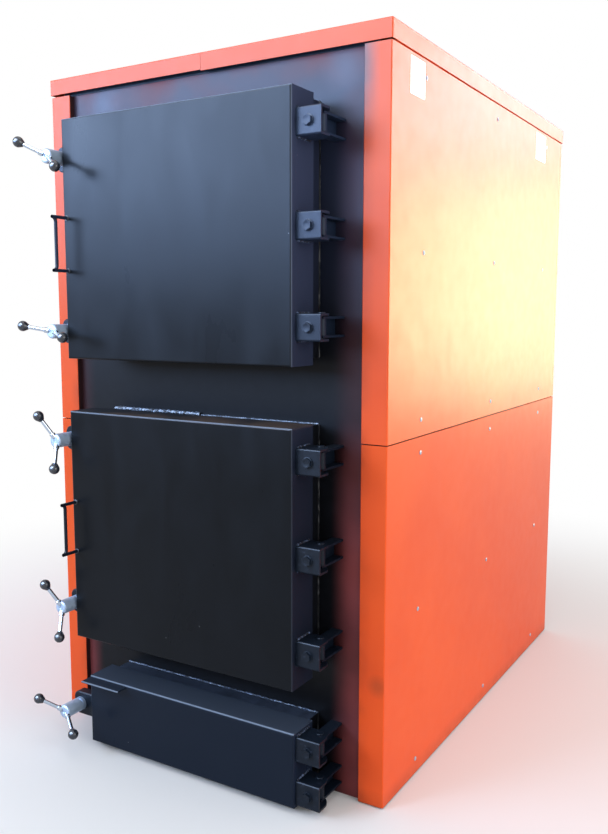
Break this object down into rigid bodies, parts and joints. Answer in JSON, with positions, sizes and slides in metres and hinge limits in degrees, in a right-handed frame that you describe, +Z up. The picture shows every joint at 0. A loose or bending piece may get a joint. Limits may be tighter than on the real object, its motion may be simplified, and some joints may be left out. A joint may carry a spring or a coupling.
{
  "type": "industrial boiler",
  "caption": "Floor-standing hand-fired water boiler in an orange sheet jacket, with hinged cleaning, fire and ash doors held by screw clamps, and rear flue and water connections.",
  "frame": {"origin": "on the floor under the middle of the jacket", "axes": "+X to the right seen from the front, +Y to the rear, +Z up; the doors face -Y"},
  "size_m": [1.2, 1.9629, 2.1],
  "materials": {
    "jacket_orange": "orange-red powder coat",
    "front_black": "satin black paint over red-brown primer",
    "door_black": "semi-gloss black paint",
    "plated_steel": "bright plated steel",
    "ball_plastic": "polished black thermoset",
    "handle_rod": "black painted rod",
    "bolt_steel": "black painted fasteners",
    "refractory": "cast refractory",
    "rope_seal": "braided glass rope",
    "cast_iron": "raw casting",
    "vessel_steel": "mill scale",
    "pipe_black": "satin black paint"
  },
  "bodies": {
    "boiler": {"ash_door_frame": "front_black", "base_plate": "vessel_steel", "clamp_keepers": "front_black", "crown_water_box": "vessel_steel", "flow_nozzle": "pipe_black", "flue_spigot": "pipe_black", "flue_water_pockets": "vessel_steel", "front_plate": "front_black", "grate_bars": "cast_iron", "grate_bearers": "cast_iron", "hinge_brackets": "front_black", "left_lower_panel": "jacket_orange", "left_upper_panel": "jacket_orange", "middle_door_frame": "front_black", "rear_lower_panel": "jacket_orange", "rear_upper_panel": "jacket_orange", "rear_water_wall": "vessel_steel", "return_nozzle": "pipe_black", "right_lower_panel": "jacket_orange", "right_upper_panel": "jacket_orange", "side_water_walls": "vessel_steel", "top_cover_left": "jacket_orange", "top_cover_right": "jacket_orange", "top_water_box": "vessel_steel", "upper_door_frame": "front_black"},
    "upper_door": {"upper_clamp_lugs": "door_black", "upper_door_handle": "handle_rod", "upper_door_liner": "refractory", "upper_door_seal": "rope_seal", "upper_door_shell": "door_black", "upper_hinge_bolts": "bolt_steel", "upper_hinge_lugs": "door_black"},
    "middle_door": {"middle_clamp_lugs": "door_black", "middle_door_handle": "handle_rod", "middle_door_liner": "refractory", "middle_door_seal": "rope_seal", "middle_door_shell": "door_black", "middle_hinge_bolts": "bolt_steel", "middle_hinge_lugs": "door_black"},
    "ash_door": {"ash_clamp_lugs": "door_black", "ash_door_handle": "door_black", "ash_door_liner": "refractory", "ash_door_seal": "rope_seal", "ash_door_shell": "door_black", "ash_hinge_bolts": "bolt_steel", "ash_hinge_lugs": "door_black"},
    "upper_top_clamp": {"upper_top_clamp_balls": "ball_plastic", "upper_top_clamp_handle": "plated_steel"},
    "upper_bottom_clamp": {"upper_bottom_clamp_balls": "ball_plastic", "upper_bottom_clamp_handle": "plated_steel"},
    "middle_top_clamp": {"middle_top_clamp_balls": "ball_plastic", "middle_top_clamp_handle": "plated_steel"},
    "middle_bottom_clamp": {"middle_bottom_clamp_balls": "ball_plastic", "middle_bottom_clamp_handle": "plated_steel"},
    "ash_side_clamp": {"ash_side_clamp_balls": "ball_plastic", "ash_side_clamp_handle": "plated_steel"}
  },
  "joints": [
    {"name": "upper_door_swing", "type": "hinge", "parent": "boiler", "child": "upper_door", "pos_m": [0.445, -0.89, 1.588], "axis": [0, 0, 1], "range_deg": [0, 100]},
    {"name": "middle_door_swing", "type": "hinge", "parent": "boiler", "child": "middle_door", "pos_m": [0.445, -0.89, 0.72], "axis": [0, 0, 1], "range_deg": [0, 100]},
    {"name": "ash_door_swing", "type": "hinge", "parent": "boiler", "child": "ash_door", "pos_m": [0.445, -0.89, 0.1215], "axis": [0, 0, 1], "range_deg": [0, 100]},
    {"name": "upper_top_clamp_turn", "type": "hinge", "parent": "upper_door", "child": "upper_top_clamp", "pos_m": [-0.424, -0.986, 1.824], "axis": [0, -1, 0], "continuous": true},
    {"name": "upper_bottom_clamp_turn", "type": "hinge", "parent": "upper_door", "child": "upper_bottom_clamp", "pos_m": [-0.424, -0.986, 1.312], "axis": [0, -1, 0], "continuous": true},
    {"name": "middle_top_clamp_turn", "type": "hinge", "parent": "middle_door", "child": "middle_top_clamp", "pos_m": [-0.424, -0.986, 0.98], "axis": [0, -1, 0], "continuous": true},
    {"name": "middle_bottom_clamp_turn", "type": "hinge", "parent": "middle_door", "child": "middle_bottom_clamp", "pos_m": [-0.424, -0.986, 0.455], "axis": [0, -1, 0], "continuous": true},
    {"name": "ash_side_clamp_turn", "type": "hinge", "parent": "ash_door", "child": "ash_side_clamp", "pos_m": [-0.424, -0.986, 0.114], "axis": [0, -1, 0], "continuous": true}
  ]
}
